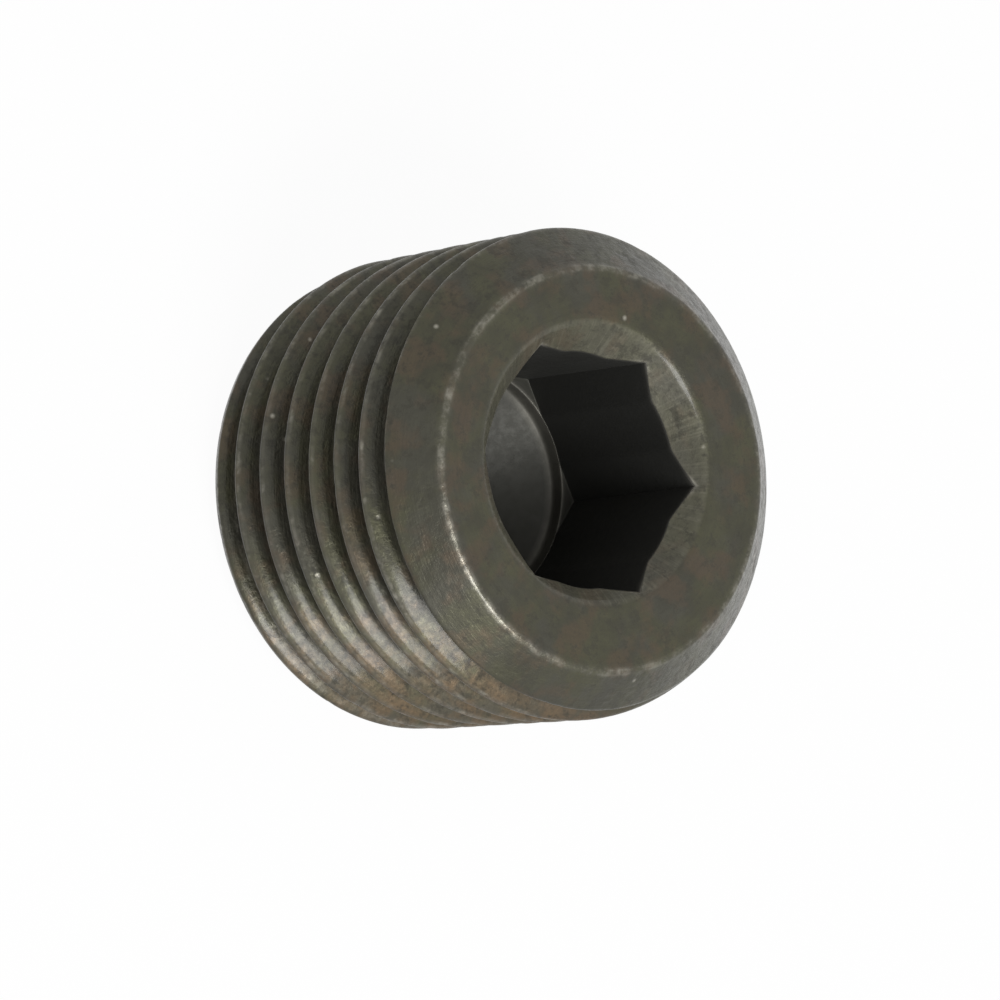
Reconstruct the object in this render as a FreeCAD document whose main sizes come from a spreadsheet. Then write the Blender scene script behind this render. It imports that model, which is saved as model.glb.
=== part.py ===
"""Taper-threaded pipe plug with a hexagon socket, turned from one bar.

Lengths are in millimetres and angles in degrees. The origin is the centre
of the small end face and +Z points up out of the socket, so the plug stands
on its small end. A corner of the hexagon lies on the +X side.
"""
import FreeCAD, Part
import math
import os
import Sketcher

Vector = FreeCAD.Vector

NODE = "plug_body"
SHEET = "sizes"

# alias, value, meaning
SIZES = [
    ("plug_length", 15.0, "small end face to socket face"),
    ("small_end_diameter", 20.44, "over the crests, where the taper meets the small end"),
    ("taper_ratio", 0.0625, "growth of the diameter for each mm of height, 1 in 16"),
    ("front_chamfer", 1.88, "45 degree chamfer round the socket face"),
    ("back_chamfer", 1.4, "height of the lead chamfer round the small end"),
    ("back_chamfer_angle", 25.0, "between that chamfer and the axis"),
    ("thread_pitch", 1.8143, "14 turns to the inch"),
    ("thread_depth", 1.162, "crest to root, square to the axis"),
    ("flank_angle", 55.0, "between the two flanks of the groove"),
    ("root_width", 0.302, "flat at the bottom of the groove"),
    ("thread_end_depth", 2.09, "socket face to the middle of the last full groove"),
    ("thread_end_azimuth", -36.8, "where the last full groove ends, from +X"),
    ("runout_turns", 0.195, "part of a turn over which the groove fades out"),
    ("hexagon_width", 10.0, "across the flats of the socket"),
    ("hexagon_depth", 8.8, "socket face to the end of the hexagon"),
    ("pilot_diameter", 10.2, "bore drilled before the hexagon was broached"),
    ("pilot_depth", 9.4, "socket face to the end of the pilot's wall"),
    ("drill_point_angle", 118.0, "cone at the bottom of the pilot"),
    ("socket_offset", 0.345, "the hexagon and pilot stand this far off the axis"),
    ("socket_azimuth", -127.2, "direction of that offset, from +X"),
    ("sink_diameter", 12.26, "mouth of the countersink"),
    ("sink_angle", 90.0, "included angle of the countersink"),
    ("sink_offset", 0.43, "the countersink stands this far off the axis"),
    ("sink_azimuth", -161.3, "direction of that offset, from +X"),
]

# How far a cut reaches past the surface that it starts from.
OVERCUT = 0.15
# A cut that takes away less than this, in cubic millimetres, has missed.
LEAST_CUT = 0.01


def make_sheet(doc):
    """Write the driving sizes into a sheet, one named cell for each."""
    sheet = doc.addObject("Spreadsheet::Sheet", SHEET)
    for row, (alias, value, meaning) in enumerate(SIZES, start=1):
        sheet.set(f"A{row}", alias)
        sheet.set(f"B{row}", str(value))
        sheet.set(f"C{row}", meaning)
        sheet.setAlias(f"B{row}", alias)
    doc.recompute()
    return sheet


def cell(formula):
    """Turn each size in angle brackets into its cell of the sheet."""
    return formula.replace("<", f"{SHEET}.").replace(">", "")


def worked_out(item, formula):
    """The number that a formula of the sheet has now."""
    return float(item.evalExpression(cell(formula)))


def origin_plane(body, role):
    """Return one of the body's own three origin planes."""
    return next(item for item in body.Origin.OriginFeatures if item.Role == role)


def add_sketch(body, name, role):
    """Add an empty sketch on one of the body's origin planes."""
    sketch = body.newObject("Sketcher::SketchObject", name)
    sketch.AttachmentSupport = [(origin_plane(body, role), "")]
    sketch.MapMode = "FlatFace"
    return sketch


def add_polygon(sketch, points):
    """Draw a closed loop of lines and join their ends."""
    following = points[1:] + points[:1]
    for start, end in zip(points, following):
        sketch.addGeometry(Part.LineSegment(Vector(*start, 0), Vector(*end, 0)), False)
    count = len(points)
    for line in range(count):
        sketch.addConstraint(Sketcher.Constraint("Coincident", line, 2, (line + 1) % count, 1))


def place_corner(sketch, line, name, across, up):
    """Tie the start of a line to two formulas of the sheet."""
    for kind, suffix, formula in (("DistanceX", "across", across), ("DistanceY", "up", up)):
        if formula == "0":
            axis = -2 if kind == "DistanceX" else -1
            sketch.addConstraint(Sketcher.Constraint("PointOnObject", line, 1, axis))
            continue
        distance = worked_out(sketch, formula)
        index = sketch.addConstraint(Sketcher.Constraint(kind, -1, 1, line, 1, distance))
        sketch.renameConstraint(index, f"{name}_{suffix}")
        sketch.setExpression(f"Constraints.{name}_{suffix}", cell(formula))


def add_profile(body, name, corners):
    """Sketch a half section on the XZ plane from named corners.

    Each corner is its name and the two formulas that hold it: its distance
    from the axis and its height.
    """
    sketch = add_sketch(body, name, "XZ_Plane")
    add_polygon(sketch, [(worked_out(sketch, across), worked_out(sketch, up))
                         for _, across, up in corners])
    for line, (corner, across, up) in enumerate(corners):
        place_corner(sketch, line, corner, across, up)
    return sketch


def add_blank(body):
    """Turn the taper with its two chamfers."""
    taper_start = "<small_end_diameter> / 2 + <back_chamfer> * <taper_ratio> / 2"
    taper_end = ("<small_end_diameter> / 2"
                 " + (<plug_length> - <front_chamfer>) * <taper_ratio> / 2")
    sketch = add_profile(body, "blank_outline", [
        ("small_centre", "0", "0"),
        ("small_rim", f"{taper_start} - <back_chamfer> * tan(<back_chamfer_angle>)", "0"),
        ("taper_start", taper_start, "<back_chamfer>"),
        ("taper_end", taper_end, "<plug_length> - <front_chamfer>"),
        ("face_rim", f"{taper_end} - <front_chamfer>", "<plug_length>"),
        ("face_centre", "0", "<plug_length>"),
    ])
    blank = body.newObject("PartDesign::Revolution", "blank")
    blank.Profile = sketch
    blank.ReferenceAxis = (sketch, ["V_Axis"])
    blank.Angle = 360.0
    return blank


def shift_profile(sketch, offset, azimuth):
    """Move a sketch of the XZ plane so that its own axis is off the plug's."""
    sketch.setExpression("AttachmentOffset.Base.x", cell(f"<{offset}> * cos(<{azimuth}>)"))
    sketch.setExpression("AttachmentOffset.Base.z", cell(f"-<{offset}> * sin(<{azimuth}>)"))


def add_turned_cut(body, name, corners, offset, azimuth):
    """Cut a round form about an axis parallel to the plug's."""
    sketch = add_profile(body, f"{name}_outline", corners)
    shift_profile(sketch, offset, azimuth)
    cut = body.newObject("PartDesign::Groove", name)
    cut.Profile = sketch
    cut.ReferenceAxis = (sketch, ["V_Axis"])
    cut.Angle = 360.0
    return cut


def add_pilot(body):
    """Drill the bore under the hexagon, with the cone of the drill's point."""
    point = "<pilot_diameter> / 2 / tan(<drill_point_angle> / 2)"
    return add_turned_cut(body, "pilot_bore", [
        ("point", "0", f"<plug_length> - <pilot_depth> - {point}"),
        ("wall_end", "<pilot_diameter> / 2", "<plug_length> - <pilot_depth>"),
        ("wall_start", "<pilot_diameter> / 2", f"<plug_length> + {OVERCUT}"),
        ("mouth_centre", "0", f"<plug_length> + {OVERCUT}"),
    ], "socket_offset", "socket_azimuth")


def add_countersink(body):
    """Cut the shallow cone at the socket's mouth."""
    slope = "tan(<sink_angle> / 2)"
    return add_turned_cut(body, "countersink", [
        ("point", "0", f"<plug_length> - <sink_diameter> / 2 / {slope}"),
        ("rim", f"<sink_diameter> / 2 + {OVERCUT} * {slope}", f"<plug_length> + {OVERCUT}"),
        ("mouth_centre", "0", f"<plug_length> + {OVERCUT}"),
    ], "sink_offset", "sink_azimuth")


def add_hexagon(body):
    """Broach the hexagon down from the socket face."""
    sketch = add_sketch(body, "hexagon_outline", "XY_Plane")
    sketch.setExpression("AttachmentOffset.Base.x",
                         cell("<socket_offset> * cos(<socket_azimuth>)"))
    sketch.setExpression("AttachmentOffset.Base.y",
                         cell("<socket_offset> * sin(<socket_azimuth>)"))
    sketch.setExpression("AttachmentOffset.Base.z", cell("<plug_length>"))
    corner_reach = "<hexagon_width> / 2 / cos(30)"
    reach = worked_out(sketch, corner_reach)
    add_polygon(sketch, [(reach * math.cos(math.radians(60 * step)),
                          reach * math.sin(math.radians(60 * step))) for step in range(6)])
    circle = sketch.addGeometry(Part.Circle(Vector(0, 0, 0), Vector(0, 0, 1), reach), True)
    sketch.addConstraint(Sketcher.Constraint("Coincident", circle, 3, -1, 1))
    for line in range(6):
        sketch.addConstraint(Sketcher.Constraint("PointOnObject", line, 1, circle))
    for line in range(1, 6):
        sketch.addConstraint(Sketcher.Constraint("Equal", 0, line))
    sketch.addConstraint(Sketcher.Constraint("PointOnObject", 0, 1, -1))
    index = sketch.addConstraint(Sketcher.Constraint("Radius", circle, reach))
    sketch.renameConstraint(index, "corner_reach")
    sketch.setExpression("Constraints.corner_reach", cell(corner_reach))
    pocket = body.newObject("PartDesign::Pocket", "hexagon")
    pocket.Profile = sketch
    pocket.Type = 0
    pocket.setExpression("Length", cell("<hexagon_depth>"))
    return pocket


def make_blank_body(doc):
    """Make the plug as it is before its thread, and check that each cut cuts."""
    body = doc.addObject("PartDesign::Body", "plug_blank")
    add_blank(body)
    doc.recompute()
    for add_cut in (add_hexagon, add_pilot, add_countersink):
        before = body.Shape.Volume
        cut = add_cut(body)
        doc.recompute()
        if before - body.Shape.Volume < LEAST_CUT:
            raise RuntimeError(f"{cut.Name} removes nothing")
    return body


def groove_section(size, height):
    """Corners of the groove's section at a height, as radius and height."""
    crest = (size["small_end_diameter"] + height * size["taper_ratio"]) / 2
    lean = math.tan(math.radians(size["flank_angle"] / 2))
    root = size["root_width"] / 2
    mouth = root + (size["thread_depth"] + OVERCUT) * lean
    inner, outer = crest - size["thread_depth"], crest + OVERCUT
    return [(outer, height - mouth), (inner, height - root),
            (inner, height + root), (outer, height + mouth)]


def spiral(start_radius, start_height, azimuth, turns, pitch, growth):
    """A right-handed helix on a cone, widening by growth in each turn.

    Its pitch and height are given along the side of the cone.
    """
    slope = math.degrees(math.atan(growth / pitch))
    slant = math.hypot(pitch, growth)
    helix = Part.makeHelix(slant, turns * slant, start_radius, slope)
    helix.Placement = FreeCAD.Placement(Vector(0, 0, start_height),
                                        FreeCAD.Rotation(Vector(0, 0, 1), azimuth))
    return helix


def groove_solid(section, azimuth, turns, pitch, growth):
    """Sweep a groove section along its helix, with one ruled face a side."""
    paths = [spiral(radius, height, azimuth, turns, pitch, growth) for radius, height in section]
    faces = [Part.makeRuledSurface(path.Edges[0], following.Edges[0])
             for path, following in zip(paths, paths[1:] + paths[:1])]
    for end in (0, -1):
        corners = [path.OrderedVertexes[end].Point for path in paths]
        faces.append(Part.Face(Part.makePolygon(corners + corners[:1])))
    solid = Part.makeSolid(Part.makeShell(faces))
    if solid.Volume < 0:
        solid.reverse()
    return solid


def groove_tools(size):
    """Name and shape of each turn of the groove, then of its run-out.

    The groove is cut one turn at a time, from a full turn below the small
    end up to where the run-out lifts it out of the chamfer.
    """
    pitch = size["thread_pitch"]
    azimuth = size["thread_end_azimuth"]
    top = size["plug_length"] - size["thread_end_depth"]
    count = math.ceil(top / pitch) + 1
    tools = []
    for turn in range(count):
        section = groove_section(size, top - (count - turn) * pitch)
        solid = groove_solid(section, azimuth, 1.0, pitch, pitch * size["taper_ratio"] / 2)
        tools.append((f"turn_{turn + 1}", solid))
    turns = size["runout_turns"]
    lift = (size["thread_depth"] + 2 * OVERCUT) / turns
    runout = groove_solid(groove_section(size, top), azimuth, turns, pitch, lift)
    tools.append(("runout", runout))
    return tools


def cut_thread(doc, blank, size):
    """Cut the groove out of the blank and return the finished plug."""
    plug = blank
    for name, shape in groove_tools(size):
        tool = doc.addObject("Part::Feature", f"groove_{name}")
        tool.Shape = shape
        cut = doc.addObject("Part::Cut", f"thread_{name}")
        cut.Base = plug
        cut.Tool = tool
        plug = cut
    plug.Label = NODE
    doc.recompute()
    return plug


def check(doc, plug):
    """Stop if any feature failed or the plug isn't one valid solid."""
    for item in doc.Objects:
        if "Invalid" in item.State or "Error" in item.State:
            raise RuntimeError(f"{item.Name} failed: {item.State}")
    shape = plug.Shape
    if shape.isNull() or not shape.isValid() or len(shape.Solids) != 1:
        raise RuntimeError(f"{plug.Label} isn't one valid solid")


def main():
    """Build the plug, check it and write its file."""
    os.makedirs("parts", exist_ok=True)
    doc = FreeCAD.newDocument("pipe_plug")
    sheet = make_sheet(doc)
    size = {alias: float(sheet.get(alias)) for alias, _, _ in SIZES}
    blank = make_blank_body(doc)
    plug = cut_thread(doc, blank, size)
    check(doc, plug)
    solid = plug.Shape.Solids[0]
    solid.exportStep(os.path.join("parts", f"{plug.Label}.step"))
    print(plug.Label, round(solid.Volume, 2), "mm3,", len(solid.Faces), "faces")


main()
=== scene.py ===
"""The looks of a taper-threaded pipe plug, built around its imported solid.

Sizes are in millimetres and angles in degrees unless a name says otherwise,
and meshes are in metres. The plug stands on its small end at the origin, with
the socket on top and a corner of the hexagon on the +X side.
"""
import logging
import math
from dataclasses import dataclass, field
from enum import Enum

import bpy
import numpy as np
from mathutils import Matrix, Vector


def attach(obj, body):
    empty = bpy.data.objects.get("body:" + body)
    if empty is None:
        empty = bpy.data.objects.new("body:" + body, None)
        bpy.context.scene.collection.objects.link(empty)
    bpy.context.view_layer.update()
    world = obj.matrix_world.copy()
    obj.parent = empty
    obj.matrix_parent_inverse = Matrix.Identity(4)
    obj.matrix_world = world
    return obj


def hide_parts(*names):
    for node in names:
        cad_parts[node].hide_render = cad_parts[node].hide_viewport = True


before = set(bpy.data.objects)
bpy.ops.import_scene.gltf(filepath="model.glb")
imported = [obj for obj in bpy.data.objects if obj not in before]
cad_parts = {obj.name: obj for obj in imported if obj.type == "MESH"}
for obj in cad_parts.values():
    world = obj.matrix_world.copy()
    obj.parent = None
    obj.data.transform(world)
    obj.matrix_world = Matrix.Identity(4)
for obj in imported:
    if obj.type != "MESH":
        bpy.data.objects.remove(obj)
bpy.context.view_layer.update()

MM = 0.001
TAU = 2.0 * math.pi
Rgb = tuple[float, float, float]

log = logging.getLogger("plug")


class Region(Enum):
    """Where on the plug a face lies."""

    SMALL_END = 0
    SHANK = 1
    HEAD = 2
    SINK = 3
    WALL = 4
    PILOT = 5


class Field:
    """A value inside a node tree. Plain arithmetic on it adds math nodes."""

    def __init__(self, graph: "Graph", socket: bpy.types.NodeSocket) -> None:
        """Hold an output socket and the graph that it belongs to."""
        self.graph = graph
        self.socket = socket

    def __add__(self, other: "Term") -> "Field":
        """Add a term."""
        return self.graph.math("ADD", self, other)

    def __sub__(self, other: "Term") -> "Field":
        """Take a term away."""
        return self.graph.math("SUBTRACT", self, other)

    def __mul__(self, other: "Term") -> "Field":
        """Multiply by a term."""
        return self.graph.math("MULTIPLY", self, other)

    def __truediv__(self, other: "Term") -> "Field":
        """Divide by a term."""
        return self.graph.math("DIVIDE", self, other)


Term = Field | float


class Graph:
    """A node tree with short ways to add nodes and feed their sockets."""

    def __init__(self, tree: bpy.types.NodeTree) -> None:
        """Start with an existing tree."""
        self.tree = tree

    def add(self, kind: str, feeds: dict | None = None, **settings: object) -> bpy.types.Node:
        """Add a node.

        Args:
            kind: The node's type name.
            feeds: A field or a plain value for each input, by name or place.
            settings: Properties of the node, set before its inputs are fed.

        Returns:
            The new node.
        """
        node = self.tree.nodes.new(kind)
        for name, value in settings.items():
            setattr(node, name, value)
        for name, value in (feeds or {}).items():
            self.feed(node.inputs[name], value)
        return node

    def feed(self, socket: bpy.types.NodeSocket, value: object) -> None:
        """Link a field to an input, or set the input to a plain value.

        Args:
            socket: The input.
            value: A field, or what the input holds when nothing is linked.
        """
        if isinstance(value, Field):
            self.tree.links.new(value.socket, socket)
        else:
            socket.default_value = value

    def value(self, kind: str, feeds: dict | None = None, out: str | int = 0,
              **settings: object) -> Field:
        """Add a node and return one of its outputs as a field."""
        return Field(self, self.add(kind, feeds, **settings).outputs[out])

    def math(self, operation: str, *terms: Term) -> Field:
        """Add a math node on up to three terms and return its result."""
        return self.value("ShaderNodeMath", dict(enumerate(terms)), operation=operation)

    def span(self, term: Term, low: float, high: float, start: float = 0.0,
             end: float = 1.0) -> Field:
        """Map low..high smoothly to start..end, and hold it there.

        Args:
            term: The value to map.
            low: Where the mapping starts.
            high: Where it ends.
            start: What comes out at low.
            end: What comes out at high.

        Returns:
            The mapped value.
        """
        return self.value("ShaderNodeMapRange", {
            "Value": term, "From Min": low, "From Max": high, "To Min": start, "To Max": end,
        }, interpolation_type="SMOOTHSTEP")

    def split(self, vector: Field) -> tuple[Field, Field, Field]:
        """Return the three parts of a vector."""
        node = self.add("ShaderNodeSeparateXYZ", {0: vector})
        return tuple(Field(self, output) for output in node.outputs)

    def join(self, x: Term, y: Term, z: Term) -> Field:
        """Make a vector of three parts."""
        return self.value("ShaderNodeCombineXYZ", {0: x, 1: y, 2: z})


class Group(Graph):
    """A node group with named inputs and outputs."""

    def __init__(self, name: str, kind: str, inputs: dict[str, tuple[str, object]],
                 outputs: dict[str, str]) -> None:
        """Make the group and its sockets.

        Args:
            name: The group's name.
            kind: GeometryNodeTree or ShaderNodeTree.
            inputs: Socket type and starting value of each input, by name.
            outputs: Socket type of each output, by name.
        """
        super().__init__(bpy.data.node_groups.new(name, kind))
        self.identifiers: dict[str, str] = {}
        for title, (socket_type, start) in inputs.items():
            socket = self.tree.interface.new_socket(title, in_out="INPUT", socket_type=socket_type)
            if start is not None:
                socket.default_value = start
            self.identifiers[title] = socket.identifier
        for title, socket_type in outputs.items():
            self.tree.interface.new_socket(title, in_out="OUTPUT", socket_type=socket_type)
        self.entry = self.add("NodeGroupInput")
        self.exit = self.add("NodeGroupOutput")

    def given(self, title: str) -> Field:
        """Return one of the group's inputs as a field."""
        return Field(self, self.entry.outputs[title])

    def give(self, title: str, value: Field) -> None:
        """Lead a field to one of the group's outputs."""
        self.feed(self.exit.inputs[title], value)


@dataclass(frozen=True)
class Marks:
    """The effects on the surface that both finishes of the plug share."""

    speckle: Group = field(default_factory=lambda: Marks.make_speckle())
    streaks: Group = field(default_factory=lambda: Marks.make_streaks())
    pits: Group = field(default_factory=lambda: Marks.make_pits())

    @staticmethod
    def make_speckle() -> Group:
        """Make the group that turns noise into a mask of soft-edged patches.

        Returns:
            The group, which puts out the mask and the noise under it.
        """
        group = Group("speckle", "ShaderNodeTree", {
            "Place": ("NodeSocketVector", None), "Scale": ("NodeSocketFloat", 500.0),
            "Detail": ("NodeSocketFloat", 3.0), "Rough": ("NodeSocketFloat", 0.55),
            "Seed": ("NodeSocketFloat", 0.0), "Low": ("NodeSocketFloat", 0.45),
            "High": ("NodeSocketFloat", 0.6),
        }, {"Mask": "NodeSocketFloat", "Noise": "NodeSocketFloat"})
        noise = group.value("ShaderNodeTexNoise", {
            "Vector": group.given("Place"), "W": group.given("Seed"),
            "Scale": group.given("Scale"), "Detail": group.given("Detail"),
            "Roughness": group.given("Rough"),
        }, noise_dimensions="4D")
        mask = group.value("ShaderNodeMapRange", {
            "Value": noise, "From Min": group.given("Low"), "From Max": group.given("High"),
        }, interpolation_type="SMOOTHSTEP")
        group.give("Mask", mask)
        group.give("Noise", noise)
        return group

    @staticmethod
    def make_streaks() -> Group:
        """Make the group of tool lines, which run round the axis or away from it.

        Around is how fast the lines change round the axis, and Along how fast
        they change away from it. Slant says how much the height counts there.

        Returns:
            The group, which puts out the mask of the lines.
        """
        group = Group("streaks", "ShaderNodeTree", {
            "Place": ("NodeSocketVector", None), "Around": ("NodeSocketFloat", 4.0),
            "Along": ("NodeSocketFloat", 6000.0), "Slant": ("NodeSocketFloat", 1.7),
            "Seed": ("NodeSocketFloat", 0.0), "Low": ("NodeSocketFloat", 0.45),
            "High": ("NodeSocketFloat", 0.6),
        }, {"Mask": "NodeSocketFloat"})
        x, y, z = group.split(group.given("Place"))
        radius = group.math("MAXIMUM", group.math("SQRT", x * x + y * y), 1e-5)
        around = group.given("Around")
        away = (radius - z * group.given("Slant")) * group.given("Along")
        noise = group.value("ShaderNodeTexNoise", {
            "Vector": group.join(x / radius * around, y / radius * around, away),
            "W": group.given("Seed"), "Scale": 1.0, "Detail": 3.0,
        }, noise_dimensions="4D")
        group.give("Mask", group.value("ShaderNodeMapRange", {
            "Value": noise, "From Min": group.given("Low"), "From Max": group.given("High"),
        }, interpolation_type="SMOOTHSTEP"))
        return group

    @staticmethod
    def make_pits() -> Group:
        """Make the group of sparse small spots.

        Returns:
            The group, which puts out a mask that is 1 in the middle of a spot.
        """
        group = Group("pits", "ShaderNodeTree", {
            "Place": ("NodeSocketVector", None), "Scale": ("NodeSocketFloat", 900.0),
            "Size": ("NodeSocketFloat", 0.16), "Share": ("NodeSocketFloat", 0.2),
        }, {"Mask": "NodeSocketFloat"})
        cells = group.add("ShaderNodeTexVoronoi", {
            "Vector": group.given("Place"), "Scale": group.given("Scale"),
        })
        spot = group.value("ShaderNodeMapRange", {
            "Value": Field(group, cells.outputs["Distance"]), "From Min": group.given("Size"),
            "From Max": 0.0,
        }, interpolation_type="SMOOTHSTEP")
        pick = group.value("ShaderNodeSeparateColor", {0: Field(group, cells.outputs["Color"])})
        chosen = group.math("LESS_THAN", pick, group.given("Share"))
        group.give("Mask", spot * chosen)
        return group


class Shader(Graph):
    """The node tree of one material, ending in a Principled BSDF."""

    def __init__(self, name: str, colour: Rgb) -> None:
        """Make a material with a Principled BSDF.

        Args:
            name: The material's name.
            colour: Its colour where nodes aren't shown.
        """
        self.material = bpy.data.materials.new(name)
        self.material.use_nodes = True
        self.material.diffuse_color = (*colour, 1.0)
        super().__init__(self.material.node_tree)
        self.surface = self.tree.nodes["Principled BSDF"]
        self.place = self.value("ShaderNodeTexCoord", out="Object")

    def attribute(self, name: str) -> Field:
        """Read a value that the mesh carries at its points."""
        return self.value("ShaderNodeAttribute", out="Fac", attribute_name=name)

    def effect(self, group: Group, out: str, **feeds: Term) -> Field:
        """Place a shared effect on the piece's own coordinates.

        Args:
            group: The effect's node group.
            out: The output that is wanted.
            feeds: Values for its inputs, by name.

        Returns:
            The effect's output.
        """
        node = self.tree.nodes.new("ShaderNodeGroup")
        node.node_tree = group.tree
        for name, value in {"Place": self.place, **feeds}.items():
            self.feed(node.inputs[name], value)
        return Field(self, node.outputs[out])

    def blend(self, below: Field | Rgb, above: Field | Rgb, share: Term) -> Field:
        """Lay one colour over another.

        Args:
            below: The colour that is there.
            above: The colour that is laid over it.
            share: How much of the second one shows, from 0 to 1.

        Returns:
            The mixed colour.
        """
        node = self.add("ShaderNodeMix", data_type="RGBA", blend_type="MIX")
        for socket, colour in ((node.inputs[6], below), (node.inputs[7], above)):
            self.feed(socket, colour if isinstance(colour, Field) else (*colour, 1.0))
        self.feed(node.inputs[0], share)
        return Field(self, node.outputs[2])

    def bump(self, height: Field, depth: float, strength: float) -> Field:
        """Raise the surface by a height of 0 to 1 times a depth."""
        return self.value("ShaderNodeBump", {
            "Height": height, "Distance": depth * MM, "Strength": strength,
        })

    def speckle(self, marks: Marks, values: "Speckle", out: str = "Mask") -> Field:
        """Place the speckle effect.

        Args:
            marks: The shared surface effects.
            values: Its scale, seed and range.
            out: The output that is wanted.

        Returns:
            The effect's output.
        """
        return self.effect(marks.speckle, out, Scale=values.scale, Seed=values.seed,
                           Detail=values.detail, Rough=values.rough, Low=values.low,
                           High=values.high)

    def streaks(self, marks: Marks, values: "Streaks") -> Field:
        """Place the streaks effect.

        Args:
            marks: The shared surface effects.
            values: Its scales, seed and range.

        Returns:
            The mask of the lines.
        """
        return self.effect(marks.streaks, "Mask", Around=values.around, Along=values.along,
                           Seed=values.seed, Low=values.low, High=values.high)

    def finish(self, inputs: dict[str, object]) -> None:
        """Feed the Principled BSDF, plain numbers straight into its sockets."""
        for name, value in inputs.items():
            self.feed(self.surface.inputs[name], value)


@dataclass(frozen=True)
class Speckle:
    """The values of one use of the speckle effect."""

    scale: float
    seed: float = 0.0
    detail: float = 3.0
    rough: float = 0.55
    low: float = 0.45
    high: float = 0.6


@dataclass(frozen=True)
class Streaks:
    """The values of one use of the streaks effect."""

    around: float
    along: float
    seed: float = 0.0
    low: float = 0.4
    high: float = 0.62


@dataclass(frozen=True)
class Wear:
    """How far the metal shows: where it is rubbed, in glints, and everywhere."""

    rubbed: float
    glints: float
    everywhere: float

    def lay(self, rubbed: Field, glints: Field) -> Field:
        """Add the three shares up."""
        return rubbed * self.rubbed + glints * self.glints + self.everywhere


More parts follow.
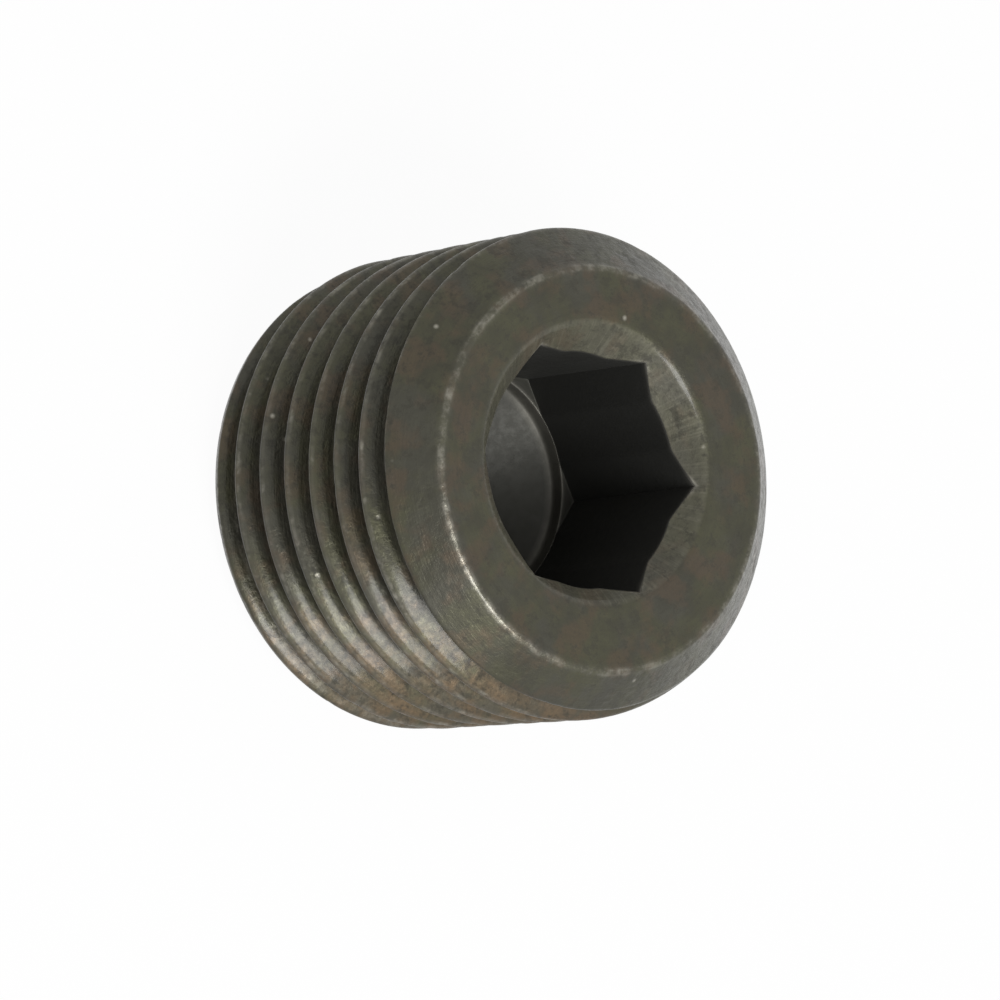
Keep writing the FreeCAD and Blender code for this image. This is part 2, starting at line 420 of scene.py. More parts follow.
@dataclass(frozen=True)
class OxideFinish:
    """Dark oxide on turned steel, oiled, rubbed bright on crests and edges, with painted shade in
    the thread's grooves, a painted sheen on the countersink and painted glints by the hexagon's
    corners.
    """

    name: str = "dark_oxide"
    olive: Rgb = (0.068, 0.067, 0.039)
    deep: Rgb = (0.04, 0.038, 0.028)
    slate: Rgb = (0.061, 0.059, 0.05)
    russet: Rgb = (0.09, 0.062, 0.04)
    rust: Rgb = (0.118, 0.082, 0.046)
    ochre: Rgb = (0.17, 0.162, 0.12)
    # painted shade: the dark colour laid into the thread's grooves
    groove: Rgb = (0.03, 0.028, 0.026)
    bright: Rgb = (0.42, 0.4, 0.34)
    metallic: float = 0.68
    roughness: float = 0.37
    specular: float = 0.25
    coat: float = 0.28
    coat_roughness: float = 0.16
    bump_depth: float = 0.035
    bump_strength: float = 0.7
    rusty_side: float = -40.0
    rust_reach: tuple[float, float] = (7.2, 10.2)
    rust_height: tuple[float, float] = (13.5, 12.2)
    patches: Speckle = Speckle(330.0, detail=4.0, low=0.4, high=0.66)
    tint: Speckle = Speckle(620.0, 3.1, low=0.48, high=0.62)
    patina: Speckle = Speckle(300.0, 8.8, 4.0, low=0.45, high=0.58)
    mottle: Speckle = Speckle(1100.0, 9.9, low=0.35, high=0.65)
    blotch: Speckle = Speckle(1700.0, 12.5, 4.0, 0.65, 0.52, 0.62)
    grain: Speckle = Speckle(3600.0, 1.7, 4.0, 0.7)
    rubbed: Speckle = Speckle(1500.0, 5.3, 4.0, 0.7, 0.42, 0.66)
    glints: Speckle = Speckle(1400.0, 21.0, 2.0, low=0.58, high=0.72)
    turned: Streaks = Streaks(5.0, 7000.0)
    rays: Streaks = Streaks(45.0, 260.0, 6.6, 0.48, 0.66)
    spot_scale: float = 900.0
    spot_size: float = 0.15
    spot_share: float = 0.14
    spot_shine: float = 0.7
    patina_share: float = 0.65
    patch_share: float = 0.32
    mottle_share: float = 0.38
    tint_share: float = 0.5
    # painted sheen: how far the whole countersink is lightened towards ochre
    sink_sheen_share: float = 0.24
    ray_share: float = 0.26
    groove_shade_share: float = 0.45
    grain_share: float = 0.45
    blotch_share: float = 0.45
    turned_share: float = 0.15
    patch_wear: float = 0.25
    crest_wear: Wear = Wear(rubbed=0.08, glints=0.22, everywhere=0.05)
    edge_wear: Wear = Wear(rubbed=0.5, glints=0.3, everywhere=0.1)

    def build(self, marks: Marks) -> bpy.types.Material:
        """Make the material.

        Args:
            marks: The shared surface effects.

        Returns:
            The finished material.
        """
        shader = Shader(self.name, self.olive)
        patches = shader.speckle(marks, self.patches)
        tint = shader.speckle(marks, self.tint)
        mottle = shader.speckle(marks, self.mottle)
        blotch = shader.speckle(marks, self.blotch)
        grain = shader.speckle(marks, self.grain, "Noise")
        rubbed = shader.speckle(marks, self.rubbed)
        glints = shader.speckle(marks, self.glints)
        turned = shader.streaks(marks, self.turned)
        spots = shader.effect(marks.pits, "Mask", Scale=self.spot_scale, Size=self.spot_size,
                              Share=self.spot_share)
        sunk = shader.attribute("sunk")
        rusty = self.rusty(shader)

        colour = shader.blend(self.olive, self.slate,
                              shader.speckle(marks, self.patina) * self.patina_share)
        colour = shader.blend(colour, self.deep,
                              patches * self.patch_share + mottle * self.mottle_share)
        colour = shader.blend(colour, self.russet, tint * self.tint_share)
        colour = shader.blend(colour, self.rust, rusty * (tint * 0.3 + mottle * 0.5 + 0.15))
        # The countersink turns lighter towards ochre: along its radial tool lines, and all over
        # with a painted sheen standing in for the lamp's light on the cone.
        rays = shader.streaks(marks, self.rays) * self.ray_share
        colour = shader.blend(colour, self.ochre, sunk * (rays + self.sink_sheen_share))
        # Painted shade: the deeper a point lies in a groove, the more it darkens towards the
        # groove colour.
        groove = shader.span(shader.attribute("groove"), 0.4, 0.95, 0.0, self.groove_shade_share)
        colour = shader.blend(colour, self.groove, groove)
        dark_grain = shader.span(grain, 0.5, 0.68, 0.0, self.grain_share)
        colour = shader.blend(colour, self.deep, dark_grain)
        colour = shader.blend(colour, self.deep,
                              blotch * self.blotch_share + turned * self.turned_share)
        wear_and_painted_light = shader.attribute("crest") * (self.crest_wear.lay(rubbed, glints)
                                            + rubbed * patches * self.patch_wear)
        # The edge share also brings painted glints by the hexagon's corners.
        wear_and_painted_light = wear_and_painted_light + shader.attribute("edge") * self.edge_wear.lay(rubbed, glints)
        wear_and_painted_light = shader.math("MAXIMUM", shader.math("MINIMUM", wear_and_painted_light, 1.0), spots * self.spot_shine)
        colour = shader.blend(colour, self.bright, wear_and_painted_light)

        rough = shader.span(grain, 0.35, 0.65, self.roughness - 0.07, self.roughness + 0.1)
        rough = rough + blotch * 0.12 + sunk * 0.2 + rusty * 0.15 - wear_and_painted_light * 0.1
        relief = grain + rubbed * 0.3 + turned * 0.1 - blotch * 0.15 - spots * 0.5
        shader.finish({
            "Base Color": colour, "Roughness": rough,
            "Metallic": wear_and_painted_light * 0.3 - sunk * 0.3 + self.metallic,
            "Normal": shader.bump(relief, self.bump_depth, self.bump_strength),
            "Specular IOR Level": self.specular, "Coat Weight": self.coat,
            "Coat Roughness": self.coat_roughness,
        })
        return shader.material

    def rusty(self, shader: Shader) -> Field:
        """Work out how far a point lies on the rusty side of the thread.

        Args:
            shader: The material's node tree.

        Returns:
            A share from 0 to 1.
        """
        side = math.radians(self.rusty_side)
        across, along, height = shader.split(shader.place)
        reach = across * math.cos(side) + along * math.sin(side)
        beside = shader.span(reach, *(edge * MM for edge in self.rust_reach))
        return beside * shader.span(height, *(edge * MM for edge in self.rust_height))


@dataclass(frozen=True)
class BoreFinish:
    """The socket's inside: broached and drilled steel, its walls painted near black as shade, its
    drilled floor painted lighter as lit, and painted highlights and light by the pilot bore.
    """

    name: str = "socket_oxide"
    # painted shade on the walls, and painted light on the drilled floor
    wall: Rgb = (0.034, 0.034, 0.031)
    drilled: Rgb = (0.051, 0.05, 0.041)
    bright: Rgb = (0.4, 0.38, 0.33)
    metallic: float = 0.25
    roughness: float = 0.5
    specular: float = 0.3
    bump_depth: float = 0.01
    bump_strength: float = 0.25
    grain: Speckle = Speckle(3000.0, 2.2, 4.0, 0.65)
    smear: Speckle = Speckle(500.0, 7.4, low=0.42, high=0.64)
    cuts: Streaks = Streaks(3.0, 5000.0, 4.4)

    def build(self, marks: Marks) -> bpy.types.Material:
        """Make the material.

        Args:
            marks: The shared surface effects.

        Returns:
            The finished material.
        """
        shader = Shader(self.name, self.wall)
        grain = shader.speckle(marks, self.grain, "Noise")
        smear = shader.speckle(marks, self.smear)
        cuts = shader.streaks(marks, self.cuts)
        # Painted light and shade: the drilled floor lighter than the walls, which are painted dark
        # as shade.
        colour = shader.blend(self.wall, self.drilled,
                              shader.attribute("drilled") * (smear * 0.12 + 0.88))
        colour = shader.blend(colour, self.wall, cuts * 0.08)
        # The edge share carries wear, painted glints by the hexagon's corners, painted highlights
        # round the pilot bore's edges and painted light on its wall.
        wear_and_painted_light = shader.attribute("edge") * (smear * 0.3 + 0.4)
        colour = shader.blend(colour, self.bright, wear_and_painted_light)
        shader.finish({
            "Base Color": colour,
            "Roughness": shader.span(grain, 0.35, 0.65, self.roughness - 0.02,
                                     self.roughness + 0.06),
            "Metallic": wear_and_painted_light * 0.5 + self.metallic,
            "Normal": shader.bump(grain + cuts * 0.5, self.bump_depth, self.bump_strength),
            "Specular IOR Level": self.specular,
        })
        return shader.material


@dataclass(frozen=True)
class Socket:
    """The countersunk hexagon, with the pilot bore that it was broached in."""

    across_flats: float = 10.0
    hexagon_depth: float = 8.8
    pilot_radius: float = 5.1
    pilot_depth: float = 9.4
    point_angle: float = 118.0
    offset: float = 0.345
    azimuth: float = -127.2
    sink_radius: float = 6.13
    sink_angle: float = 90.0
    sink_offset: float = 0.43
    sink_azimuth: float = -161.3
    least_bevel: float = 0.04

    @staticmethod
    def off_axis(distance: float, azimuth: float) -> np.ndarray:
        """A point at a distance from the plug's axis."""
        angle = math.radians(azimuth)
        return distance * np.array([math.cos(angle), math.sin(angle)])

    def rings(self, azimuths: np.ndarray, top: float) -> list[np.ndarray]:
        """Lay out the socket's edges, from its mouth down to the drill point.

        Args:
            azimuths: Directions of the columns, in radians.
            top: Height of the socket face.

        Returns:
            One ring of points for each edge, one point for each column.
        """
        centre = self.off_axis(self.offset, self.azimuth)
        sink = self.off_axis(self.sink_offset, self.sink_azimuth)
        ways = np.stack([np.cos(azimuths), np.sin(azimuths)], axis=1)
        turned = np.mod(azimuths, TAU / 6.0) - TAU / 12.0
        flat = self.across_flats / 2.0 / np.cos(turned)
        wall = np.maximum(flat, self.pilot_radius + self.least_bevel / 2.0)
        along = ways @ (centre - sink)
        circle = -along + np.sqrt(along ** 2 - np.sum((centre - sink) ** 2)
                                  + self.sink_radius ** 2)
        mouth = np.maximum(circle, wall + self.least_bevel)
        slope = math.tan(math.radians(self.sink_angle / 2.0))
        edge = centre + ways * wall[:, None]
        reach = np.linalg.norm(edge - sink, axis=1)
        drop = np.maximum((self.sink_radius - reach) / slope, self.least_bevel / slope)
        floor = top - self.pilot_depth
        apex = floor - self.pilot_radius / math.tan(math.radians(self.point_angle / 2.0))

        def ring(radius: np.ndarray, height: np.ndarray | float) -> np.ndarray:
            """Put the columns' points at a distance from the socket's axis.

            Args:
                radius: The distance, one for all columns or one for each.
                height: The height, one for all columns or one for each.

            Returns:
                The points.
            """
            spread = np.broadcast_to(np.asarray(radius, float), azimuths.shape)
            heights = np.broadcast_to(np.asarray(height, float), azimuths.shape)
            return np.column_stack([centre + ways * spread[:, None], heights])

        return [
            ring(mouth, top),
            ring(wall, top - drop),
            ring(wall, top - self.hexagon_depth),
            ring(self.pilot_radius, top - self.hexagon_depth),
            ring(self.pilot_radius, floor),
            ring(0.0, apex),
        ]


@dataclass(frozen=True)
class TaperThread:
    """The right-hand taper thread, with the run-out that ends it."""

    pitch: float = 1.8143
    depth: float = 1.162
    flank_angle: float = 55.0
    root_width: float = 0.302
    small_end_radius: float = 10.22
    taper: float = 0.03125
    end_height: float = 12.91
    end_azimuth: float = -36.8
    runout_turns: float = 0.195
    runout_lift: float = 1.462
    crest_rounding: float = 0.5
    root_rounding: float = 0.35
    nick_depth: float = 0.05
    wave_scale: float = 420.0
    wave_share: float = 0.3
    knock_scale: float = 1500.0
    knock_range: tuple[float, float] = (0.58, 0.75)
    crest_line: tuple[float, float] = (0.11, 0.02)
    crest_line_shift: float = 0.03
    crest_line_end: float = 0.12
    inner_share: float = 0.8
    hard_angle: float = 45.0

    def build(self) -> Group:
        """Make the Geometry Nodes tree that sinks the thread into the blank.

        Returns:
            The tree, whose inputs are the sizes and the two finishes.
        """
        number = "NodeSocketFloat"
        group = Group("taper_thread", "GeometryNodeTree", {
            "Geometry": ("NodeSocketGeometry", None), "Pitch": (number, self.pitch),
            "Depth": (number, self.depth), "Flank Angle": (number, self.flank_angle),
            "Root Width": (number, self.root_width),
            "Small End Radius": (number, self.small_end_radius), "Taper": (number, self.taper),
            "End Height": (number, self.end_height), "End Azimuth": (number, self.end_azimuth),
            "Runout Turns": (number, self.runout_turns),
            "Runout Lift": (number, self.runout_lift),
            "Crest Rounding": (number, self.crest_rounding),
            "Root Rounding": (number, self.root_rounding),
            "Nick Depth": (number, self.nick_depth), "Seed": (number, 11.0),
            "Shank Finish": ("NodeSocketMaterial", None),
            "Socket Finish": ("NodeSocketMaterial", None),
        }, {"Geometry": "NodeSocketGeometry"})
        given = group.given
        pitch = given("Pitch")
        position = group.value("GeometryNodeInputPosition")
        x, y, z = (part * 1000.0 for part in group.split(position))
        radius = group.math("SQRT", x * x + y * y)
        end = given("End Azimuth") * (math.pi / 180.0)
        share = group.math("FRACT", (group.math("ARCTAN2", y, x) - end) / TAU)
        rise = z - given("End Height") - share * pitch
        whole = group.math("ROUND", rise / pitch)
        aside = group.math("PINGPONG", rise, pitch * 0.5)
        past_end = group.math("MAXIMUM", whole + share, 0.0)
        lift = past_end * given("Runout Lift") / given("Runout Turns")
        height = given("End Height") + (whole + share) * pitch
        root = given("Small End Radius") + height * given("Taper") - given("Depth") + lift
        lean = group.math("TANGENT", given("Flank Angle") * (math.pi / 360.0))
        flank = group.math("SMOOTH_MAX", aside - given("Root Width") * 0.5, 0.0,
                           given("Root Rounding"))
        groove = root + flank / lean
        nicked = radius - self.nicks(group, position)
        cut = group.math("SMOOTH_MIN", nicked, groove, given("Crest Rounding"))
        ratio = cut / group.math("MAXIMUM", radius, 0.001)
        outside = group.math("GREATER_THAN", radius, self.small_end_radius * self.inner_share)
        ratio = (ratio - 1.0) * outside + 1.0
        moved = group.join(x * ratio * MM, y * ratio * MM, z * MM)

        below = (radius - cut) / given("Depth")
        threaded = group.span(whole + share, self.crest_line_end, 0.0)
        mouth = given("Root Width") * 0.5 + given("Depth") * lean
        beside = group.math("ABSOLUTE", rise - whole * pitch + mouth + self.crest_line_shift)
        crest = group.span(beside, *self.crest_line) * threaded * outside
        shape = Field(group, group.entry.outputs["Geometry"])
        shape = self.store(group, shape, "groove", group.math("MAXIMUM", below * outside, 0.0))
        shape = self.store(group, shape, "crest", crest)
        shape = group.value("GeometryNodeSetPosition", {"Geometry": shape, "Position": moved})
        angle = group.value("GeometryNodeInputMeshEdgeAngle", out="Unsigned Angle")
        hard = group.value("FunctionNodeCompare", {0: angle, 1: math.radians(self.hard_angle)},
                           operation="GREATER_THAN")
        shape = group.value("GeometryNodeStoreNamedAttribute", {
            "Geometry": shape, "Name": "sharp_edge", "Value": hard,
        }, data_type="BOOLEAN", domain="EDGE")
        shape = group.value("GeometryNodeRealizeInstances", {0: shape})
        shape = group.value("GeometryNodeSetMaterial", {
            "Geometry": shape, "Material": given("Shank Finish"),
        })
        region = group.value("GeometryNodeInputNamedAttribute", {"Name": "region"}, "Attribute",
                             data_type="INT")
        inside = group.value("FunctionNodeCompare", {2: region, 3: Region.WALL.value},
                             data_type="INT", operation="GREATER_EQUAL")
        shape = group.value("GeometryNodeSetMaterial", {
            "Geometry": shape, "Selection": inside, "Material": given("Socket Finish"),
        })
        group.give("Geometry", shape)
        return group

    @staticmethod
    def store(group: Group, shape: Field, name: str, value: Field) -> Field:
        """Keep a value at each point of the mesh under a name."""
        return group.value("GeometryNodeStoreNamedAttribute", {
            "Geometry": shape, "Name": name, "Value": value,
        }, data_type="FLOAT", domain="POINT")

    def nicks(self, group: Group, position: Field) -> Field:
        """Work out how deep the small knocks and waves in the surface are.

        Args:
            group: The tree that sinks the thread.
            position: The point on the blank.

        Returns:
            The depth in millimetres.
        """
        seed = group.given("Seed")
        waves = group.value("ShaderNodeTexNoise", {
            "Vector": position, "W": seed, "Scale": self.wave_scale, "Detail": 2.0,
        }, noise_dimensions="4D")
        knocks = group.value("ShaderNodeTexNoise", {
            "Vector": position, "W": seed + 4.0, "Scale": self.knock_scale, "Detail": 2.0,
        }, noise_dimensions="4D")
        depth = waves * self.wave_share + group.span(knocks, *self.knock_range)
        return depth * group.given("Nick Depth")


@dataclass(frozen=True)
class Corner:
    """One edge of the blank that every column of the skin passes over.

    rounding is cut off each side of the edge, steps lead on to the next edge, and the edge carries
    its wear and painted highlight from 0 to 1, and painted light over the whole stretch after it.
    The steps crowd towards the edges unless they are even.
    """

    points: np.ndarray
    rounding: float
    steps: int
    region: Region
    wear_and_painted_light: float | np.ndarray = 0.0
    painted_stretch_light: float = 0.0
    even: bool = False


@dataclass
class Plug:
    """The whole plug: a closed skin whose columns run from pole to pole."""

    thread: TaperThread
    socket: Socket
    name: str = "plug"
    node: str = "plug_body"
    slot: str = "steel"
    length: float = 15.0
    front_chamfer: float = 1.88
    back_chamfer: float = 1.4
    back_chamfer_angle: float = 25.0
    columns: int = 276
    rounding_steps: int = 3
    rounding_limit: float = 0.45
    edge_width: float = 0.06
    brim_wear: float = 0.12
    # painted glint at each corner of the hexagon, over the brim's wear
    tip_glint: float = 0.75
    tip_narrowness: int = 40
    drill_fade: float = 0.1
    drill_margin: float = 1.3

    def radius_at(self, height: float) -> float:
        """Radius over the crests at a height."""
        return self.thread.small_end_radius + height * self.thread.taper

    def circle(self, radius: float, height: float, azimuths: np.ndarray) -> np.ndarray:
        """A ring of points round the plug's axis."""
        return np.column_stack([radius * np.cos(azimuths), radius * np.sin(azimuths),
                                np.full(azimuths.shape, height)])

    def corners(self) -> list[Corner]:
        """List the blank's edges, from the middle of the small end to the drill point.

        Returns:
            The edges, each with its rounding, the steps to the next one and
            the region that starts there.
        """
        azimuths = np.arange(self.columns) * TAU / self.columns
        start = self.radius_at(self.back_chamfer)
        lead = self.back_chamfer * math.tan(math.radians(self.back_chamfer_angle))
        shoulder = self.length - self.front_chamfer
        end = self.radius_at(shoulder)
        mouth, brim, wall_end, bore, bore_end, apex = self.socket.rings(azimuths, self.length)
        # The brim's wear all round, with a painted glint at each corner of the hexagon.
        brim_wear_and_tip_glints = self.brim_wear + self.tip_glint * np.cos(3.0 * azimuths) ** self.tip_narrowness

        def ring(radius: float, height: float) -> np.ndarray:
            """A ring round the plug's axis."""
            return self.circle(radius, height, azimuths)

        return [
            Corner(ring(0.0, 0.0), 0.0, 6, Region.SMALL_END),
            Corner(ring(start - lead, 0.0), 0.06, 20, Region.SHANK, wear_and_painted_light=0.5, even=True),
            Corner(ring(start, self.back_chamfer), 0.05, 192, Region.SHANK, wear_and_painted_light=0.3, even=True),
            Corner(ring(end, shoulder), 0.12, 26, Region.SHANK, wear_and_painted_light=0.3, even=True),
            Corner(ring(end - self.front_chamfer, self.length), 0.13, 14, Region.HEAD, wear_and_painted_light=0.5),
            Corner(mouth, 0.3, 8, Region.SINK),
            Corner(brim, 0.08, 16, Region.WALL, wear_and_painted_light=brim_wear_and_tip_glints),
            Corner(wall_end, 0.04, 3, Region.PILOT),
            # Painted highlights round the pilot bore's edges, and painted light on its shaded
            # wall.
            Corner(bore, 0.05, 3, Region.PILOT, wear_and_painted_light=0.5, painted_stretch_light=0.4),
            Corner(bore_end, 0.12, 7, Region.PILOT, wear_and_painted_light=0.35),
            Corner(apex, 0.0, 0, Region.PILOT),
        ]

    def rows(self) -> tuple[list[np.ndarray], list[np.ndarray], list[Region]]:
        """Round the edges and divide the stretches between them.

        Returns:
            The rows of points, how much edge wear and painted light each point has from 0 to 1,
            and the region between each row and the next.
        """
        corners = self.corners()
        rings = [corner.points for corner in corners]
        gaps = [np.linalg.norm(b - a, axis=1) for a, b in zip(rings, rings[1:])]
        trims = [np.zeros(self.columns)]
        for index in range(1, len(corners) - 1):
            room = np.minimum(gaps[index - 1], gaps[index]) * self.rounding_limit
            trims.append(np.minimum(room, corners[index].rounding))
        trims.append(np.zeros(self.columns))
        points, nearness, regions = [rings[0]], [np.zeros(self.columns)], []
        for index, corner in enumerate(corners[:-1]):
            way = (rings[index + 1] - rings[index]) / gaps[index][:, None]
            leave = rings[index] + way * trims[index][:, None]
            arrive = rings[index + 1] - way * trims[index + 1][:, None]
            span = np.linalg.norm(arrive - leave, axis=1)
            for step in range(1, corner.steps + 1):
                share = step / corner.steps
                if not corner.even:
                    share = (1.0 - math.cos(math.pi * share)) / 2.0
                points.append(leave + (arrive - leave) * share)
                behind = corner.wear_and_painted_light * np.exp(-share * span / self.edge_width)
                ahead = corners[index + 1].wear_and_painted_light * np.exp((share - 1.0) * span / self.edge_width)
                nearness.append(np.maximum(np.maximum(behind, ahead), corner.painted_stretch_light))
                regions.append(corner.region)
            if index + 2 < len(corners):
                after = corners[index + 1]
                onward = (rings[index + 2] - rings[index + 1]) / gaps[index + 1][:, None]
                begin, finish = arrive, rings[index + 1] + onward * trims[index + 1][:, None]
                for step in range(1, self.rounding_steps + 1):
                    share = step / self.rounding_steps
                    points.append((1 - share) ** 2 * begin + 2 * share * (1 - share)
                                  * rings[index + 1] + share ** 2 * finish)
                    nearness.append(np.zeros(self.columns) + after.wear_and_painted_light)
                    regions.append(corner.region if share < 0.5 else after.region)
        return points, nearness, regions

    def skin(self) -> bpy.types.Mesh:
        """Build the closed skin of the blank, before its thread.

        Returns:
            The mesh, with its regions and edge nearness as attributes.
        """
        points, nearness, regions = self.rows()
        count = self.columns
        inner = points[1:-1]
        vertices = np.vstack([points[0][:1], *inner, points[-1][:1]]) * MM
        last = len(vertices) - 1
        near = np.concatenate([nearness[0][:1], *nearness[1:-1], nearness[-1][:1]])
        column = np.arange(count)
        following = (column + 1) % count
        faces: list[tuple[int, ...]] = [
            (0, 1 + b, 1 + a) for a, b in zip(column.tolist(), following.tolist())]
        for row in range(len(inner) - 1):
            low, high = 1 + row * count, 1 + (row + 1) * count
            faces += [(low + a, low + b, high + b, high + a)
                      for a, b in zip(column.tolist(), following.tolist())]
        top = 1 + (len(inner) - 1) * count
        faces += [(top + a, top + b, last) for a, b in zip(column.tolist(), following.tolist())]
        mesh = bpy.data.meshes.new(self.name)
        mesh.from_pydata(vertices.tolist(), [], faces)
        mesh.polygons.foreach_set("use_smooth", [True] * len(faces))
        zone = np.repeat([region.value for region in regions], count)
        mesh.attributes.new("region", "INT", "FACE").data.foreach_set("value", zone)
        shares = {"edge": near, **self.tools_left(vertices / MM, regions)}
        for title, values in shares.items():
            mesh.attributes.new(title, "FLOAT", "POINT").data.foreach_set("value", values)
        mesh.update()
        return mesh

    def tools_left(self, vertices: np.ndarray, regions: list[Region]) -> dict[str, np.ndarray]:
        """Tell which points the countersink and the drill have cut.

        Args:
            vertices: The skin's points, in millimetres.
            regions: The region between each row of points and the next.

        Returns:
            A share from 0 to 1 for each point, by the name of its attribute.
        """
        rows = [Region.SMALL_END, *np.repeat(regions[:-1], self.columns), Region.PILOT]
        sunk = np.array([region is Region.SINK for region in rows], float)
        depth = (self.length - self.socket.hexagon_depth - vertices[:, 2]) / self.drill_fade
        reach = self.socket.pilot_radius + self.drill_margin
        inside = np.hypot(vertices[:, 0], vertices[:, 1]) < reach
        return {"sunk": sunk, "drilled": np.clip(depth + 1.0, 0.0, 1.0) * inside}

    def build(self, shank: bpy.types.Material, bore: bpy.types.Material) -> bpy.types.Object:
        """Build the plug, cut its thread and set it on its body.

        Args:
            shank: Finish of everything outside and of the countersink.
            bore: Finish of the hexagon's walls and the pilot bore.

        Returns:
            The finished piece.
        """
        plug = bpy.data.objects.new(self.name, self.skin())
        bpy.context.scene.collection.objects.link(plug)
        cutter = self.thread.build()
        modifier = plug.modifiers.new("thread", "NODES")
        modifier.node_group = cutter.tree
        modifier[cutter.identifiers["Shank Finish"]] = shank
        modifier[cutter.identifiers["Socket Finish"]] = bore
        depsgraph = bpy.context.evaluated_depsgraph_get()
        threaded = bpy.data.meshes.new_from_object(
            plug.evaluated_get(depsgraph), preserve_all_data_layers=True, depsgraph=depsgraph)
        plug.modifiers.clear()
        blank = plug.data
        plug.data = threaded
        bpy.data.meshes.remove(blank)
        threaded.name = self.name
        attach(plug, "root")
        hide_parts(self.node)
        triangles = sum(len(face.vertices) - 2 for face in threaded.polygons)
        log.info("%s: %d triangles, finishes %s", plug.name, triangles,
                 [material.name for material in threaded.materials])
        return plug


@dataclass(frozen=True)
class Viewpoint:
    """The camera's place, worked out from the direction in which it looks.

    The plug's axis leans from the line of sight by tilt, and turns in the
    picture by roll from the picture's right. bearing is the azimuth on the
    plug that faces the camera.
    """

    tilt: float = 0.6728
    roll: float = 0.1283
    bearing: float = -106.8
    distance: float = 698.0
    lens: float = 585.9
    sensor: float = 36.0
    picture: float = 1000.0
    seen_at: tuple[float, float] = (602.3, 469.85)
    height: float = 15.0
    clip: tuple[float, float] = (0.05, 20.0)

    def axes(self) -> tuple[Vector, Vector, Vector]:
        """Give the picture's own directions.

        Returns:
            Its right, down and forward, as directions of the scene.
        """
        up = Vector((math.sin(self.tilt) * math.cos(self.roll),
                     -math.sin(self.tilt) * math.sin(self.roll), -math.cos(self.tilt)))
        back = Vector((0.0, 0.0, -1.0))
        facing = (back - back.dot(up) * up).normalized()
        side = -up.cross(facing)
        angle = math.radians(self.bearing)
        near = Vector((math.cos(angle), math.sin(angle), 0.0))
        beside = Vector((math.sin(angle), -math.cos(angle), 0.0))
        top = Vector((0.0, 0.0, 1.0))
        return tuple(up[i] * top + facing[i] * near + side[i] * beside for i in range(3))

    def towards(self, right: float, down: float, forward: float) -> Vector:
        """Turn a direction given in the picture into one of the scene."""
        axes = self.axes()
        return (axes[0] * right + axes[1] * down + axes[2] * forward).normalized()

    def build(self) -> bpy.types.Object:
        """Make the camera and set it as the scene's.

        Returns:
            The camera.
        """
        right, down, forward = self.axes()
        focal = self.lens / self.sensor * self.picture
        across, along = ((place - self.picture / 2.0) / focal for place in self.seen_at)
        offset = (right * across + down * along + forward) * self.distance * MM
        data = bpy.data.cameras.new("camera")
        data.lens, data.sensor_width = self.lens, self.sensor
        data.clip_start, data.clip_end = self.clip
        camera = bpy.data.objects.new("camera", data)
        turn = Matrix((right, -down, -forward)).transposed()
        camera.matrix_world = Matrix.Translation(
            Vector((0.0, 0.0, self.height * MM)) - offset) @ turn.to_4x4()
        bpy.context.scene.collection.objects.link(camera)
        bpy.context.scene.camera = camera
        return camera


@dataclass(frozen=True)
class Softbox:
    """One square studio lamp, placed by a direction in the picture.

    level is the light that it throws on the plug, next to a white surround's.
    Its size and distance are in metres.
    """

    name: str
    direction: tuple[float, float, float]
    level: float
    size: float = 0.3
    distance: float = 0.45

    def build(self, viewpoint: Viewpoint, target: Vector) -> bpy.types.Object:
        """Hang the lamp and turn it to the plug.

        Args:
            viewpoint: The camera that the direction is given for.
            target: The point that the lamp looks at.

        Returns:
            The lamp.
        """
        data = bpy.data.lights.new(self.name, "AREA")
        data.shape, data.size = "SQUARE", self.size
        data.energy = self.level * math.pi ** 2 * self.distance ** 2
        lamp = bpy.data.objects.new(self.name, data)
        way = viewpoint.towards(*self.direction)
        lamp.location = target + way * self.distance
        lamp.rotation_mode = "QUATERNION"
        lamp.rotation_quaternion = way.to_track_quat("Z", "Y")
        lamp.visible_camera = False
        bpy.context.scene.collection.objects.link(lamp)
        return lamp


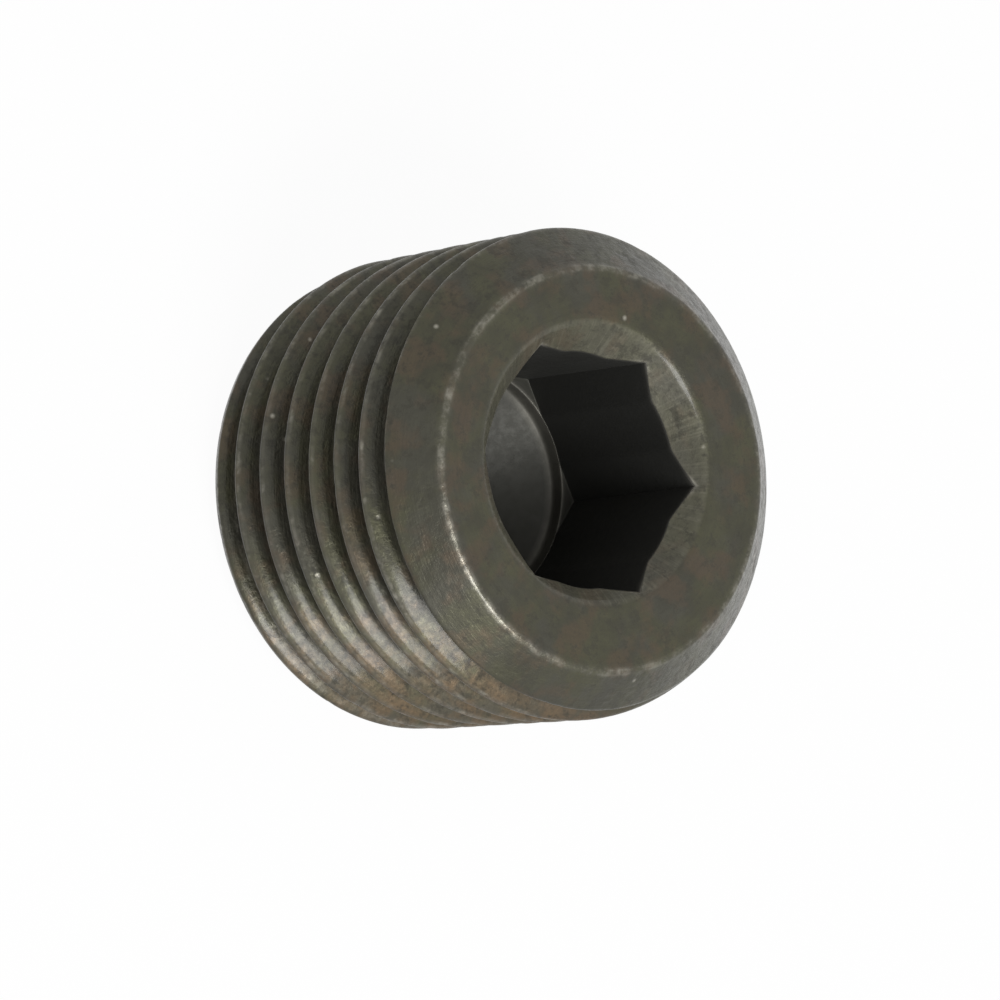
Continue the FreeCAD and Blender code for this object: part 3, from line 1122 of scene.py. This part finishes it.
@dataclass(frozen=True)
class Studio:
    """Pale floor, white surround and soft lamps. The floor's size is in metres."""

    viewpoint: Viewpoint
    lamps: tuple[Softbox, ...]
    floor_size: float = 6.0
    floor_gap: float = 0.02
    floor_colour: Rgb = (0.86, 0.86, 0.86)
    ambient: float = 0.33
    floor_glow: float = 0.96

    @staticmethod
    def seen_directly(graph: Graph) -> Field:
        """Tell the rays that show the surround itself from the light that it gives.

        Args:
            graph: The tree to add the nodes to.

        Returns:
            1 for camera, glossy and transmission rays, 0 for the others.
        """
        node = graph.add("ShaderNodeLightPath")
        rays = [Field(graph, node.outputs[name]) for name in
                ("Is Camera Ray", "Is Glossy Ray", "Is Transmission Ray")]
        return graph.math("MAXIMUM", graph.math("MAXIMUM", rays[0], rays[1]), rays[2])

    def floor(self) -> bpy.types.Object:
        """Lay the floor that the plug stands on.

        Returns:
            The floor, a hair under the small end.
        """
        half = self.floor_size / 2.0
        mesh = bpy.data.meshes.new("floor")
        low = -self.floor_gap * MM
        mesh.from_pydata([(-half, -half, low), (half, -half, low), (half, half, low),
                          (-half, half, low)], [], [(0, 1, 2, 3)])
        floor = bpy.data.objects.new("floor", mesh)
        bpy.context.scene.collection.objects.link(floor)
        material = bpy.data.materials.new("pale_floor")
        material.use_nodes = True
        graph = Graph(material.node_tree)
        graph.tree.nodes.clear()
        matt = graph.value("ShaderNodeBsdfDiffuse", {"Color": (*self.floor_colour, 1.0)})
        glow = graph.value("ShaderNodeEmission", {"Color": (1, 1, 1, 1), "Strength": 1.0})
        share = self.seen_directly(graph) * self.floor_glow
        mixed = graph.value("ShaderNodeMixShader", {0: share, 1: matt, 2: glow})
        graph.add("ShaderNodeOutputMaterial", {"Surface": mixed})
        mesh.materials.append(material)
        return floor

    def surround(self) -> bpy.types.World:
        """Make the world, white where it is seen and dimmer as a light.

        Returns:
            The world.
        """
        world = bpy.data.worlds.new("surround")
        world.use_nodes = True
        graph = Graph(world.node_tree)
        graph.tree.nodes.clear()
        strength = self.seen_directly(graph) * (1.0 - self.ambient) + self.ambient
        shell = graph.value("ShaderNodeBackground", {"Color": (1, 1, 1, 1), "Strength": strength})
        graph.add("ShaderNodeOutputWorld", {"Surface": shell})
        bpy.context.scene.world = world
        return world

    def build(self, target: Vector) -> None:
        """Set up the camera, the surround, the floor and the lamps.

        Args:
            target: The point that the lamps look at.
        """
        self.viewpoint.build()
        self.surround()
        self.floor()
        for lamp in self.lamps:
            lamp.build(self.viewpoint, target)
        bpy.context.scene.view_settings.view_transform = "Standard"


def main() -> None:
    """Build the studio and the plug."""
    logging.basicConfig(level=logging.INFO, format="%(message)s")
    lamps = (
        Softbox("key_lamp", (0.46, 0.42, -0.78), 0.75, size=0.18),
        Softbox("low_fill_lamp", (0.05, 0.78, -0.62), 0.12),
    )
    plug = Plug(TaperThread(), Socket())
    Studio(Viewpoint(), lamps).build(Vector((0.0, 0.0, plug.length / 2.0 * MM)))
    log.info("studio: camera, floor and %d lamps", len(lamps))
    marks = Marks()
    shank, bore = OxideFinish().build(marks), BoreFinish().build(marks)
    log.info("finishes: %s, %s", shank.name, bore.name)
    plug.build(shank, bore)


if __name__ == "__main__":
    main()
